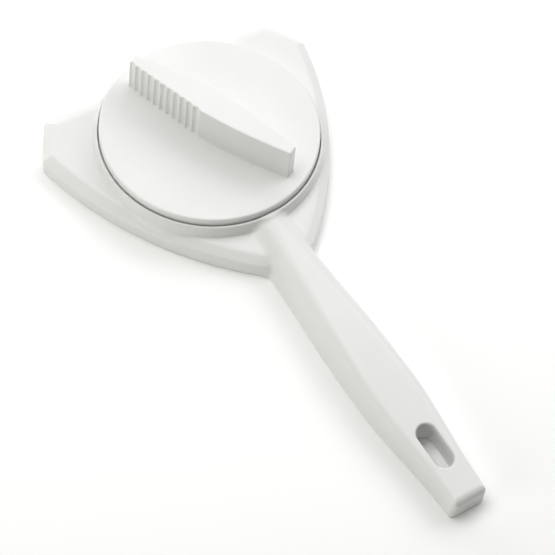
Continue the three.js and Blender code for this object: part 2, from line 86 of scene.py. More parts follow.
GRIP_INSET, GRIP_ROUNDING = 0.3, 0.25
RIDGES, RIDGES_END, RIDGE_DEPTH, RIDGE_POWER = 11, -2.0, 0.75, 0.8
PIVOT_BOSS, PIVOT_HOLE, PIVOT_HOLE_TOP = 4.2, 2.2, 27.0
PIN_OPEN, PIN_CLOSED, PIN_RADIUS, PIN_BOTTOM, PIN_TOP, DIAL_TRAVEL = 36.0, 18.5, 1.3, 5.8, 14.1, 350.0
COLLAR_RADIUS, COLLAR_BOTTOM, COLLAR_TOP, DECK_SLOT_HALF = 2.5, 7.25, 8.45, 1.8
SCROLL_TOP, SCROLL_BOTTOM, SCROLL_RADIUS, SCROLL_HUB, HUB_END, GROOVE = 15.3, 12.3, 40.0, 7.5, 8.7, 2.2
GROOVE_CLEARANCE, SCREW_SEAT_RADIUS, SCREW_SEAT_TOP = 0.35, 2.4, 13.8
CHASSIS_BOTTOM, CHASSIS_TOP, ARM_HALF, ARM_REACH, CHASSIS_DISC, CHASSIS_BORE = 4.5, 5.5, 6.6, 60.3, 28.0, 15.5
CHASSIS_SLOT_START, CHASSIS_SLOT_END, CHASSIS_SLOT_HALF, SCREW_HOLE = 31.1, 49.5, 2.1, 1.5
ARM_FILLET, ARM_CORNER = 5.0, 3.0
SLIDE_BOTTOM, SLIDE_TOP, SLIDE_HALF, SLIDE_INNER, SLIDE_OUTER = 5.7, 7.1, 4.5, 32.6, 53.6
AXLE_AT, AXLE_RADIUS, AXLE_BOTTOM, AXLE_TOP = 49.0, 1.5, 0.5, 6.9
ROLLER_BOTTOM, ROLLER_TOP, ROLLER_RADIUS, ROLLER_LIP, ROLLER_BORE = 1.5, 4.2, 5.5, 6.2, 1.85
ROLLER_RELIEF, RELIEF_DEPTH, LIP_HEIGHT, ROLLER_CHAMFER = ((2.9, 3.1), (4.6, 4.8)), 0.2, 0.8, 0.3
CUTTER_RADIUS, CUTTER_HUB, CUTTER_EDGE, CUTTER_BEVEL, CUTTER_RISE = 6.5, 3.4, 2.3, 1.1, 0.8
CLIP_BOTTOM, CLIP_TOP, CLIP_RADIUS, CLIP_INNER, CLIP_TOOTH = 0.7, 1.2, 3.1, 2.35, 1.05
AXLE_GROOVE = AXLE_RADIUS - 0.35
CHASSIS_SCREW_AT, PILOT_RADIUS, PILOT_TOP, SCROLL_SCREW_AT = 57.6, 1.2, 7.9, 13.4
ARMS = {"right": 30, "left": 150, "cutter": 270}


# ---- distance fields ---------------------------------------------------------------------------
def length(a, b):
    return np.sqrt(a * a + b * b)


def both(a, b, radius=0.0):
    """The part inside a and inside b, with the edge between them rounded."""
    if np.ndim(radius) == 0 and not radius:
        return np.maximum(a, b)
    corner = length(np.maximum(a + radius, 0), np.maximum(b + radius, 0))
    return np.minimum(np.maximum(a, b), -radius) + corner


def join(a, b, radius=0.0):
    """The part inside a or inside b, with a fillet in the corner between them."""
    if not radius:
        return np.minimum(a, b)
    corner = length(np.maximum(radius - a, 0), np.maximum(radius - b, 0))
    return np.maximum(np.minimum(a, b), radius) - corner


def cut(a, b, radius=0.0):
    return both(a, -b, radius)


def between(z, low, high):
    return np.maximum(low - z, z - high)


def turned(x, y, degrees):
    """Coordinates along and across a direction that is turned from +X."""
    c, s = math.cos(math.radians(degrees)), math.sin(math.radians(degrees))
    return x * c + y * s, y * c - x * s


def circle(x, y, radius, at=(0.0, 0.0)):
    return length(x - at[0], y - at[1]) - radius


def rectangle(x, y, x0, x1, y0, y1):
    dx, dy = np.abs(x - (x0 + x1) / 2) - (x1 - x0) / 2, np.abs(y - (y0 + y1) / 2) - (y1 - y0) / 2
    return length(np.maximum(dx, 0), np.maximum(dy, 0)) + np.minimum(np.maximum(dx, dy), 0)


def pill(x, y, middle, reach, radius):
    """A slot with round ends along x, its middle at x = middle."""
    return length(np.maximum(np.abs(x - middle) - reach, 0), y) - radius


def polygon(x, y, points):
    """Signed distance to a closed outline."""
    x, y = np.broadcast_arrays(x, y)
    nearest = np.full(x.shape, np.inf)
    inside = np.zeros(x.shape, bool)
    for (ax, ay), (bx, by) in zip(points, np.roll(points, -1, axis=0)):
        ex, ey, px, py = bx - ax, by - ay, x - ax, y - ay
        t = np.clip((px * ex + py * ey) / (ex * ex + ey * ey), 0, 1)
        nearest = np.minimum(nearest, (px - t * ex) ** 2 + (py - t * ey) ** 2)
        if ay != by:
            crosses = (ay > y) != (by > y)
            inside ^= crosses & (x < ax + (y - ay) / (by - ay) * ex)
    distance = np.sqrt(nearest)
    return np.where(inside, -distance, distance)


def spin_point(point, degrees):
    """A point turned about the origin."""
    return turned(point[0], point[1], -degrees)


def arc(cx, cy, radius, start, end, steps):
    angles = np.radians(np.linspace(start, end, steps + 1))
    return [(cx + radius * math.cos(a), cy + radius * math.sin(a)) for a in angles]


def ring_of_points(radius, count, at=(0.0, 0.0)):
    return arc(*at, radius, 0, 360 - 360 / count, count - 1)


def slot_outline(start, end, half):
    """A slot with round ends, its end centres at start and end along x."""
    return arc(end, 0, half, -90, 90, 10) + arc(start, 0, half, 90, 270, 10)


def inset(points, distance):
    """The anticlockwise outline moved inwards, with mitred corners."""
    points = np.array(points)
    before, after = points - np.roll(points, 1, axis=0), np.roll(points, -1, axis=0) - points
    before /= np.linalg.norm(before, axis=1)[:, None]
    after /= np.linalg.norm(after, axis=1)[:, None]
    inward = np.c_[-before[:, 1] - after[:, 1], before[:, 0] + after[:, 0]]
    return points + inward * (2 * distance / (inward ** 2).sum(axis=1))[:, None]


# ---- meshing -----------------------------------------------------------------------------------
WELD, CREASE, CORNER_STEPS, LATHE_STEPS = 0.001, 24, 3, 96
PLAN_STEP, HEIGHT_STEP, MARGIN = 0.42, 0.36, 0.9  # grid of the moulded pieces and room round them
SLOTS = {row["node"]: row["material_slot"] for row in frame["record"]["subparts"]}
EDGES = [(a, b) for a in range(8) for b in range(8) if b - a in (1, 2, 4) and (a & (b - a)) == 0]


def surface_nets(field, axes):
    """One quad for each grid edge that the surface crosses, one vertex for each cell that it is in."""
    x, y, z = axes
    inside = field(x[:, None, None], y[None, :, None], z[None, None, :])
    values = np.ascontiguousarray(np.broadcast_to(inside, (len(x), len(y), len(z))))
    inside = values < 0
    corners = [tuple((c >> k) & 1 for k in range(3)) for c in range(8)]
    cell_shape = tuple(n - 1 for n in values.shape)

    def corner_block(array, corner):
        return array[tuple(slice(o, o + n) for o, n in zip(corner, cell_shape))]

    count = sum(corner_block(inside, c).astype(np.int8) for c in corners)
    cells = np.argwhere((count > 0) & (count < 8))
    number = np.full(cell_shape, -1, np.int32)
    number[tuple(cells.T)] = np.arange(len(cells))

    at = [cells + np.array(c) for c in corners]
    value = [values[tuple(a.T)] for a in at]
    place = [np.c_[x[a[:, 0]], y[a[:, 1]], z[a[:, 2]]] for a in at]
    total, weight = np.zeros((len(cells), 3)), np.zeros(len(cells))
    for a, b in EDGES:
        crossed = (value[a] < 0) != (value[b] < 0)
        t = np.where(crossed, value[a] / np.where(crossed, value[a] - value[b], 1), 0)
        total += crossed[:, None] * (place[a] + t[:, None] * (place[b] - place[a]))
        weight += crossed
    vertices = total / weight[:, None]

    quads = []
    for k in range(3):
        u, v = (k + 1) % 3, (k + 2) % 3
        low = [slice(1, -1)] * 3
        low[k] = slice(0, -1)
        high = list(low)
        high[k] = slice(1, None)
        first, second = inside[tuple(low)], inside[tuple(high)]
        for wanted in (True, False):
            base = np.argwhere((first != second) & (first == wanted)) + 1
            base[:, k] -= 1
            ring = []
            for du, dv in ((-1, -1), (0, -1), (0, 0), (-1, 0)):
                cell = base.copy()
                cell[:, u] += du
                cell[:, v] += dv
                ring.append(number[tuple(cell.T)])
            quads.append(np.stack(ring if wanted else ring[::-1], axis=1))
    return vertices, np.concatenate(quads)


def gradient(field, p, step=0.01):
    base = field(*p.T)
    moved = [field(*(p + np.eye(3)[k] * step).T) for k in range(3)]
    return base, np.stack([(m - base) / step for m in moved], axis=1)


def settle(field, vertices, reach, rounds=4):
    """Moves the vertices onto the field's surface and returns them with its normals."""
    start = vertices.copy()
    for _ in range(rounds):
        value, slope = gradient(field, vertices)
        size = np.maximum((slope ** 2).sum(axis=1), 0.05)
        vertices = vertices - slope * (value / size)[:, None]
        offset = vertices - start
        far = np.linalg.norm(offset, axis=1) / reach
        vertices = start + offset / np.maximum(far, 1)[:, None]
    slope = gradient(field, vertices)[1]
    return vertices, slope / np.maximum(np.linalg.norm(slope, axis=1), 1e-9)[:, None]


def place(points):
    """Millimetres about the dial's axis to metres in the row's frame."""
    return (np.asarray(points, float) + (0, AXIS_Y, 0)) * MM


def spun(points, degrees):
    """Points or normals turned about the Z axis."""
    x, y = turned(points[:, 0], points[:, 1], -degrees)
    return np.c_[x, y, points[:, 2]]


def add_piece(mesh, node, body):
    """The mesh as the fine piece that stands for a CAD node."""
    piece = bpy.data.objects.new(node + "_fine", mesh)
    bpy.context.scene.collection.objects.link(piece)
    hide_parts(node)
    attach(piece, body)
    mesh.materials.append(MATERIALS[SLOTS[node]])
    return piece


def moulded(node, body, field, axes, at=(0.0, 0.0), turn=0.0):
    """A piece meshed from its distance field, which may be drawn at the origin and then moved."""
    vertices, faces = surface_nets(field, axes)
    reach = 0.6 * max(np.diff(axis).max() for axis in axes)
    vertices, normals = settle(field, vertices, reach)
    vertices, normals = spun(vertices, turn) + (*at, 0), spun(normals, turn)
    mesh = bpy.data.meshes.new(node)
    mesh.from_pydata(place(vertices).tolist(), [], faces.tolist())
    mesh.shade_smooth()
    mesh.normals_split_custom_set_from_vertices(normals.tolist())
    return add_piece(mesh, node, body)


def weld(mesh):
    """Joins vertices that lie on each other and turns the faces outwards."""
    work = bmesh.new()
    work.from_mesh(mesh)
    bmesh.ops.remove_doubles(work, verts=work.verts, dist=WELD * MM)
    bmesh.ops.recalc_face_normals(work, faces=work.faces)
    work.to_mesh(mesh)
    work.free()
    mesh.shade_smooth()
    mesh.set_sharp_from_angle(angle=math.radians(CREASE))


def softened(profile, radius):
    """The closed profile with an arc at each corner off the axis."""
    points = np.array(profile, float)
    result = []
    for before, corner, after in zip(np.roll(points, 1, axis=0), points, np.roll(points, -1, axis=0)):
        if corner[0] < WELD:
            result.append(corner)
            continue
        ways = [before - corner, after - corner]
        reach = min([radius] + [0.45 * np.linalg.norm(w) for w in ways])
        start, end = (corner + w / np.linalg.norm(w) * reach for w in ways)
        for t in np.linspace(0, 1, CORNER_STEPS + 1):
            result.append((1 - t) ** 2 * start + 2 * t * (1 - t) * corner + t * t * end)
    return np.array(result)


def lathed(node, body, profile, at=(0.0, 0.0), edge=0.2, lift=None):
    """A turned piece from its closed [radius, z] profile; lift gives a wavy height by angle."""
    profile = softened(profile, edge)
    count = LATHE_STEPS // 1
    angle = np.linspace(0, 2 * math.pi, count, endpoint=False)
    x = profile[:, 0, None] * np.cos(angle) + at[0]
    y = profile[:, 0, None] * np.sin(angle) + at[1]
    z = profile[:, 1, None] + (lift(angle) if lift else 0 * angle)
    number = np.arange(x.size).reshape(x.shape)
    down, across = np.roll(number, -1, axis=0), np.roll(number, -1, axis=1)
    faces = np.stack([number, across, np.roll(down, -1, axis=1), down], axis=-1).reshape(-1, 4)
    mesh = bpy.data.meshes.new(node)
    mesh.from_pydata(place(np.c_[x.ravel(), y.ravel(), z.ravel()]).tolist(), [], faces.tolist())
    weld(mesh)
    return add_piece(mesh, node, body)


def stamped(node, body, outlines, bottom, top, edge=0.15):
    """A flat piece: the first outline less the others, with its edges rounded over."""
    curve = bpy.data.curves.new(node, "CURVE")
    curve.dimensions, curve.fill_mode = "2D", "BOTH"
    for points in outlines:
        spline = curve.splines.new("POLY")
        spline.points.add(len(points) - 1)
        for point, (x, y) in zip(spline.points, points):
            point.co = (x * MM, (y + AXIS_Y) * MM, 0, 1)
        spline.use_cyclic_u = True
    curve.bevel_depth, curve.offset, curve.bevel_resolution = edge * MM, -edge * MM, 2
    curve.extrude = ((top - bottom) / 2 - edge) * MM
    drawn = bpy.data.objects.new(node, curve)
    mesh = bpy.data.meshes.new_from_object(drawn)
    mesh.transform(Matrix.Translation((0, 0, (top + bottom) / 2 * MM)))
    bpy.data.objects.remove(drawn)
    weld(mesh)
    return add_piece(mesh, node, body)


def steps(start, end, size):
    size = size * 1
    return np.linspace(start, end, max(2, round((end - start) / size) + 1))


# ---- body shell --------------------------------------------------------------------------------
def plate_outline():
    start, end = np.array(EAR_REAR), np.array(ROOT)
    chord = end - start
    inward = np.array([chord[1], -chord[0]]) / np.linalg.norm(chord)
    depth = math.sqrt(FLANK_RADIUS ** 2 - (chord ** 2).sum() / 4)
    centre = (start + end) / 2 + inward * depth
    angles = [math.degrees(math.atan2(*(p - centre)[::-1])) for p in (end, start)]
    flank = arc(*centre, FLANK_RADIUS, *angles, 24)
    cy, reach = EAR_EDGE_Y + EAR_FILLET, RING_BASE_RADIUS + EAR_FILLET
    cx = math.sqrt(reach ** 2 - cy ** 2)
    fillet = arc(cx, cy, EAR_FILLET, 270, 180 + math.degrees(math.atan2(cy, cx)), 8)
    right = flank + [EAR_FRONT] + fillet
    return right + [(-x, y) for x, y in reversed(right)]


OUTLINE = plate_outline()
CORNERED = inset(OUTLINE, EAR_CORNER)


def smooth(t):
    t = np.clip(t, 0, 1)
    return t * t * (3 - 2 * t)


def handle_half(y):
    widening = smooth((y - HANDLE_NECK) / (BELLY_FRONT - HANDLE_NECK))
    taper = smooth((y - BELLY_BACK) / (HANDLE_END - BELLY_BACK))
    return NECK_HALF + (BELLY_HALF - NECK_HALF) * widening + (END_HALF - BELLY_HALF) * taper


def handle_top(y):
    fall = smooth((HANDLE_FALL_START - y) / (HANDLE_FALL_START - HANDLE_END))
    return NECK_TOP + (HANDLE_END_TOP - NECK_TOP) * fall


def handle_field(x, y, z, shrink=0.0, nose=False):
    """Sides that lean in, corners that tighten towards the end and a slightly crowned top."""
    along = np.clip((y - HANDLE_START) / (HANDLE_END - HANDLE_START), 0, 1)
    lean = LEAN[0] + (LEAN[1] - LEAN[0]) * along
    corner = CORNER[0] + (CORNER[1] - CORNER[0]) * along - shrink
    half, top = handle_half(y) - shrink, handle_top(y) - shrink
    side = (np.abs(x) - half + lean * z) / length(1, lean)
    roof = z - top + HANDLE_CROWN * (x / half) ** 2
    handle = both(side, roof, np.maximum(corner, 0.5))
    if nose:
        end = HANDLE_END - y
        handle = np.maximum(both(handle, end, NOSE_SIDE), both(roof, end, NOSE_TOP))
    return handle


def outer_field(x, y, z):
    edge = polygon(x, y, CORNERED) - EAR_CORNER
    slope = math.atan2(PLATE_TOP - PLATE_WALL, PLATE_CHAMFER)
    chamfer = (z - PLATE_WALL) * math.cos(slope) + edge * math.sin(slope)
    plate = both(both(edge, chamfer, 0.6), z - PLATE_TOP, 0.6)
    rho = length(x, y)
    slope = math.atan2(PLATE_TOP - PLATE_WALL, RING_BASE_RADIUS - RING_FOOT_RADIUS)
    flare = (rho - RING_FOOT_RADIUS) * math.sin(slope) + (z - PLATE_TOP) * math.cos(slope)
    base = both(both(rho - RING_BASE_RADIUS, flare, 0.6), z - PLATE_TOP)
    draft = (RING_FOOT_RADIUS - RING_TOP_RADIUS) / (RING_TOP - PLATE_TOP)
    ring = both(rho - RING_TOP_RADIUS + (z - RING_TOP) * draft, z - RING_TOP, 0.3)
    handle = both(handle_field(x, y, z, nose=True), y - HANDLE_START)
    return both(join(join(join(plate, base), ring, 0.5), handle, 2.5), -z, 0.4)


def under_field(x, y, z):
    """Everything that is open from below: the can's pocket, the chamber, channels and handle."""
    edge = polygon(x, y, CORNERED) - EAR_CORNER + SKIRT
    rho = length(x, y)
    neck = rectangle(x, y, -NECK_POCKET_HALF, NECK_POCKET_HALF, NECK_POCKET_END, NECK_POCKET_START)
    pocket = both(join(join(edge, rho - POCKET_RADIUS), neck, 1.0), z - POCKET_TOP, 0.5)
    chamber = rho - CHAMBER_RADIUS
    for direction in ARMS.values():
        u, v = turned(x, y, direction)
        v = np.abs(v)
        guide = rectangle(u, v, GUIDE_START, GUIDE_END, CHANNEL_HALF, CHANNEL_HALF + GUIDE_THICKNESS)
        channel = rectangle(u, v, CHANNEL_START, CHANNEL_END, -CHANNEL_HALF, CHANNEL_HALF)
        chamber = cut(chamber, guide, 0.3)
        pocket = join(pocket, both(channel, z - CHANNEL_TOP))
        boss = circle(*turned(x, y, direction + 60), STUD_BOSS, (STUD_AT, 0))
        chamber = cut(chamber, boss, 0.3)
    pocket = join(pocket, both(chamber, z - DECK_BOTTOM, 0.5))
    inside = handle_field(x, y, z, HANDLE_WALL)
    hollow = both(inside, between(y, HOLLOW_END, HOLLOW_START), 0.8)
    ribs = np.abs(x)
    for at in RIBS_Y:
        ribs = np.minimum(ribs, np.abs(y - at))
    hollow = cut(hollow, np.maximum(ribs - RIB_THICKNESS / 2, RIB_BOTTOM - z), 0.3)
    return join(pocket, hollow)


def body_field(x, y, z):
    body = cut(outer_field(x, y, z), under_field(x, y, z), 0.3)
    rho = length(x, y)
    body = cut(body, np.maximum(rho - WELL_RADIUS, DECK_TOP - z), 0.2)
    for direction in ARMS.values():
        u, v = turned(x, y, direction)
        slot = pill(u, v, (PIN_OPEN + PIN_CLOSED) / 2, (PIN_OPEN - PIN_CLOSED) / 2 + 0.25, DECK_SLOT_HALF)
        body = cut(body, np.maximum(slot, DECK_BOTTOM - 1 - z), 0.2)
        stud = circle(*turned(x, y, direction + 60), STUD_RADIUS, (STUD_AT, 0))
        body = join(body, np.maximum(stud, between(z, STUD_BOTTOM, STUD_TOP)))
        pilot = circle(u, v, PILOT_RADIUS, (CHASSIS_SCREW_AT, 0))
        body = cut(body, np.maximum(pilot, z - PILOT_TOP))
    body = cut(body, np.maximum(rho - DECK_BORE, DECK_BOTTOM - 1 - z), 0.2)
    slot = pill(y, x, SLOT_Y, (SLOT_LENGTH - SLOT_WIDTH) / 2, SLOT_WIDTH / 2)
    return cut(body, slot, 0.7)


def build_body():
    """The grid is coarser along the handle, which bends slowly, than at its nose and in the head."""
    half = EAR_REAR[0] + 0.7
    nose, neck = HANDLE_END + 6, -64
    y = np.concatenate([steps(HANDLE_END - MARGIN, nose, PLAN_STEP)[:-1], steps(nose, neck, 0.75)[:-1],
                        steps(neck, RING_BASE_RADIUS + MARGIN, PLAN_STEP)])
    z = steps(-0.8, RING_TOP + 0.8, HEIGHT_STEP)
    moulded("body_shell", "body", body_field, (steps(-half, half, PLAN_STEP), y, z))


def build_chassis():
    """Three-armed steel plate; its outline runs round the disc and out along each arm."""
    centre = math.sqrt((CHASSIS_DISC + ARM_FILLET) ** 2 - (ARM_HALF + ARM_FILLET) ** 2)
    spread = math.degrees(math.atan2(ARM_HALF + ARM_FILLET, centre))
    arm = (arc(centre, -ARM_HALF - ARM_FILLET, ARM_FILLET, 180 - spread, 90, 8)
           + arc(ARM_REACH - ARM_CORNER, ARM_CORNER - ARM_HALF, ARM_CORNER, -90, 0, 8))
    arm = arm + [(x, -y) for x, y in reversed(arm)]
    outline = []
    for direction in sorted(ARMS.values()):
        outline += [spin_point(p, direction) for p in arm]
        outline += arc(0, 0, CHASSIS_DISC, direction + spread, direction + 120 - spread, 16)[1:-1]
    holes = [ring_of_points(CHASSIS_BORE, 60)]
    for direction in ARMS.values():
        slot = slot_outline(CHASSIS_SLOT_START, CHASSIS_SLOT_END, CHASSIS_SLOT_HALF)
        holes.append([spin_point(p, direction) for p in slot])
        holes.append(ring_of_points(SCREW_HOLE, 24, spin_point((CHASSIS_SCREW_AT, 0), direction)))
        holes.append(ring_of_points(STUD_HOLE, 24, spin_point((STUD_AT, 0), direction + 60)))
    stamped("chassis_plate", "body", [outline] + holes, CHASSIS_BOTTOM, CHASSIS_TOP)


# ---- dial --------------------------------------------------------------------------------------
def grip_outline(ridged):
    """S-shaped outline along x; each half is the other one turned by half a turn."""
    side = []
    count = RIDGES * 8 if ridged else 8
    for t in np.linspace(0, 1, count + 1):
        wave = abs(math.sin(math.pi * RIDGES * t)) ** RIDGE_POWER if ridged else 0
        width = GRIP_MIDDLE * t ** GRIP_POWER + (1 - t) * GRIP_FAR - RIDGE_DEPTH * wave
        side.append((-GRIP_HALF + (GRIP_HALF + RIDGES_END) * t, -width))
    for t in np.linspace(0, 1, 13)[1:]:
        width = GRIP_MIDDLE + (GRIP_NEAR - GRIP_MIDDLE) * t * t + GRIP_SWELL * math.sin(math.pi * t)
        side.append((RIDGES_END + (GRIP_HALF - RIDGES_END) * t, -width))
    return np.array(side + [(-x, -y) for x, y in side])


GRIP_RIDGED = inset(grip_outline(True), GRIP_INSET)
GRIP_PLAIN = grip_outline(False)


def dial_field(x, y, z):
    rho = length(x, y)
    disc = both(both(rho - DIAL_RADIUS, z - DIAL_TOP, 0.7), DIAL_BOTTOM - z, 0.3)
    disc = cut(disc, np.maximum(rho - DIAL_RADIUS + DIAL_SKIRT, z - DIAL_UNDER), 0.2)
    u, v = turned(x, y, GRIP_TURN)
    draft = (z - DIAL_TOP) * GRIP_DRAFT
    roof = z - GRIP_TOP + GRIP_CROWN * (u / GRIP_HALF) ** 2
    grip = both(polygon(u, v, GRIP_RIDGED) - GRIP_ROUNDING + draft, roof, 0.5)
    grip = np.maximum(grip, DIAL_UNDER - z)
    dial = join(disc, grip, 0.5)
    hollow = both(polygon(u, v, GRIP_PLAIN) + GRIP_WALL, z - GRIP_TOP + GRIP_WALL + GRIP_CROWN, 0.5)
    hollow = cut(hollow, rho - PIVOT_BOSS)
    return cut(cut(dial, hollow), np.maximum(rho - PIVOT_HOLE, z - PIVOT_HOLE_TOP))


def build_dial():
    """The grid is coarser up the sides of the grip than at its foot and its top."""
    plan = steps(-DIAL_RADIUS - MARGIN, DIAL_RADIUS + MARGIN, 0.4)
    foot, roof = 20, GRIP_TOP - 1.5
    up = np.concatenate([steps(DIAL_BOTTOM - 0.8, foot, HEIGHT_STEP)[:-1], steps(foot, roof, 0.7)[:-1],
                         steps(roof, GRIP_TOP + 0.8, HEIGHT_STEP)])
    moulded("dial", "dial", dial_field, (plan, plan, up))


def scroll_field(x, y, z):
    """Disc with one spiral groove for each drive pin, and the hub that turns in the deck."""
    rho = length(x, y)
    angle = np.degrees(np.arctan2(y, x))
    disc = both(rho - SCROLL_RADIUS, between(z, SCROLL_BOTTOM, SCROLL_TOP), 0.4)
    scroll = join(disc, both(rho - SCROLL_HUB, between(z, HUB_END, SCROLL_TOP - 1), 0.3), 0.3)
    half = PIN_RADIUS + GROOVE_CLEARANCE
    for direction in ARMS.values():
        t = np.mod(angle - direction, 360) / DIAL_TRAVEL
        groove = np.where(t > 1, np.inf, np.abs(rho - PIN_OPEN + (PIN_OPEN - PIN_CLOSED) * t))
        for reach, at in ((PIN_OPEN, direction), (PIN_CLOSED, direction + DIAL_TRAVEL)):
            groove = np.minimum(groove, circle(x, y, 0, spin_point((reach, 0), at)))
        scroll = cut(scroll, np.maximum(groove - half, z - SCROLL_BOTTOM - GROOVE), 0.25)
        seat = spin_point((SCROLL_SCREW_AT, 0), direction)
        scroll = cut(scroll, np.maximum(circle(x, y, SCREW_SEAT_RADIUS, seat), z - SCREW_SEAT_TOP), 0.2)
        scroll = cut(scroll, circle(x, y, SCREW_HOLE, seat))
    return cut(scroll, rho - PIVOT_HOLE)


def build_scroll():
    plan = steps(-SCROLL_RADIUS - 1, SCROLL_RADIUS + 1, 0.5)
    disc = SCROLL_BOTTOM - 0.3
    up = np.concatenate([steps(HUB_END - 0.5, disc, 0.8)[:-1], steps(disc, SCROLL_TOP + 0.5, HEIGHT_STEP)])
    moulded("scroll_plate", "dial", scroll_field, (plan, plan, up))


# ---- screws ------------------------------------------------------------------------------------
# bottom of the head, head radius, head height, shank radius, tip
CHASSIS_SCREW = (CHASSIS_BOTTOM - 1.3, 2.4, 1.15, 0.95, 7.6)
SCROLL_SCREW = (SCROLL_BOTTOM + 0.2, 2.1, 1.1, 1.0, 16.6)
PIVOT_SCREW = (6.1, 4.0, 1.3, 1.9, 26.5)


def build_screw(node, body, size, at=(0.0, 0.0), turn=0.0):
    """Pan-head screw pointing up, with a cross recess and a coarse thread."""
    bottom, head_radius, head_height, shank_radius, tip = size
    pitch, depth = 0.55 * shank_radius, 0.2 * shank_radius

    def field(x, y, z):
        rho = length(x, y)
        head = both(rho - head_radius, bottom - z, 0.6 * head_height)
        head = both(head, z - bottom - head_height, 0.1)
        down = np.clip(z - bottom, 0, head_height)
        reach, half = 0.6 * head_radius - 0.5 * down, 0.13 * head_radius
        wing = np.minimum(np.maximum(np.abs(x) - reach, np.abs(y) - half),
                          np.maximum(np.abs(y) - reach, np.abs(x) - half))
        head = cut(head, np.maximum(wing, z - bottom - 0.65 * head_height), 0.06)
        wave = 0.5 - 0.5 * np.cos(2 * math.pi * z / pitch - np.arctan2(y, x))
        thread = (rho - shank_radius + depth * wave) * 0.8
        point = (rho - (tip - z) * 0.8) * 0.78
        shank = np.maximum(np.maximum(thread, point), bottom + 0.5 * head_height - z)
        return join(head, shank, 0.1)

    plan = steps(-head_radius - 0.3, head_radius + 0.3, 0.17)
    up = np.concatenate([steps(bottom - 0.3, bottom + head_height + 0.2, 0.13)[:-1],
                         steps(bottom + head_height + 0.2, tip + 0.3, 0.2)])
    moulded(node, body, field, (plan, plan, up), at, turn)


def build_screws():
    for i, (side, direction) in enumerate(ARMS.items()):
        at = spin_point((CHASSIS_SCREW_AT, 0), direction)
        build_screw(f"{side}_chassis_screw", "body", CHASSIS_SCREW, at, 70 * i)
        at = spin_point((SCROLL_SCREW_AT, 0), direction)
        build_screw(f"scroll_screw_{i + 1}", "dial", SCROLL_SCREW, at, 50 * i)
    build_screw("pivot_screw", "dial", PIVOT_SCREW, turn=15)


# ---- turned parts, slides and clips ------------------------------------------------------------
# inner radius, outer radius, bottom, top
RETAINER = (2.2, 12.0, 7.6, 8.5)
WAVE_WASHER = (7.9, 10.8, 8.85, 9.15)
WAVES, WAVE_HEIGHT = 3, 0.25
BUSH = (7.8, 9.3, 9.5, 12.1)
BUSH_FLANGE, BUSH_FLANGE_TOP = 11.6, 10.1


def ring_profile(inner, outer, bottom, top):
    return [(inner, bottom), (outer, bottom), (outer, top), (inner, top)]


def build_hub_rings():
    lathed("retaining_washer", "dial", ring_profile(*RETAINER))
    lathed("wave_washer", "dial", ring_profile(*WAVE_WASHER), edge=0.06,
           lift=lambda angle: WAVE_HEIGHT * np.cos(WAVES * angle))
    inner, outer, bottom, top = BUSH
    flange = [(inner, bottom), (BUSH_FLANGE, bottom), (BUSH_FLANGE, BUSH_FLANGE_TOP)]
    lathed("deck_bush", "body", flange + [(outer, BUSH_FLANGE_TOP), (outer, top), (inner, top)])


def clip_outline(direction):
    """Spring clip, open towards its slide's outer end, with two teeth in the axle's groove."""
    outer = arc(0, 0, CLIP_RADIUS, 24, 336, 39)
    inner = []
    for degrees in range(330, 29, -5):
        tooth = max(0.0, 1 - abs((degrees + 60) % 120 - 60) / 20)
        inner.append(spin_point((CLIP_INNER - CLIP_TOOTH * min(1.0, 1.6 * tooth), 0), degrees))
    centre = spin_point((AXLE_AT, 0), direction)
    return [(centre[0] + x, centre[1] + y) for x, y in (spin_point(p, direction) for p in outer + inner)]


def build_slide(side, direction):
    """Slide with its drive pin, its axle and the clip on the axle."""
    body = f"{side}_slide"
    pin_at, axle_at = (spin_point((reach, 0), direction) for reach in (PIN_OPEN, AXLE_AT))
    outline = (arc(SLIDE_OUTER - SLIDE_HALF, 0, SLIDE_HALF, -90, 90, 20)
               + arc(SLIDE_INNER + SLIDE_HALF, 0, SLIDE_HALF, 90, 270, 20))
    outline = [spin_point(p, direction) for p in outline]
    holes = [ring_of_points(PIN_RADIUS + 0.1, 24, pin_at), ring_of_points(AXLE_RADIUS + 0.1, 24, axle_at)]
    stamped(f"{side}_slide", body, [outline] + holes, SLIDE_BOTTOM, SLIDE_TOP)
    lathed(f"{side}_drive_pin", body,
           [(0, PIN_BOTTOM), (PIN_RADIUS, PIN_BOTTOM), (PIN_RADIUS, COLLAR_BOTTOM),
            (COLLAR_RADIUS, COLLAR_BOTTOM), (COLLAR_RADIUS, COLLAR_TOP), (PIN_RADIUS, COLLAR_TOP),
            (PIN_RADIUS, PIN_TOP), (0, PIN_TOP)], pin_at)
    lathed(f"{side}_axle", body,
           [(0, AXLE_BOTTOM), (AXLE_RADIUS, AXLE_BOTTOM), (AXLE_RADIUS, CLIP_BOTTOM),
            (AXLE_GROOVE, CLIP_BOTTOM), (AXLE_GROOVE, CLIP_TOP), (AXLE_RADIUS, CLIP_TOP),
            (AXLE_RADIUS, AXLE_TOP), (0, AXLE_TOP)], axle_at, edge=0.12)
    stamped(f"{side}_axle_clip", body, [clip_outline(direction)], CLIP_BOTTOM, CLIP_TOP, 0.06)


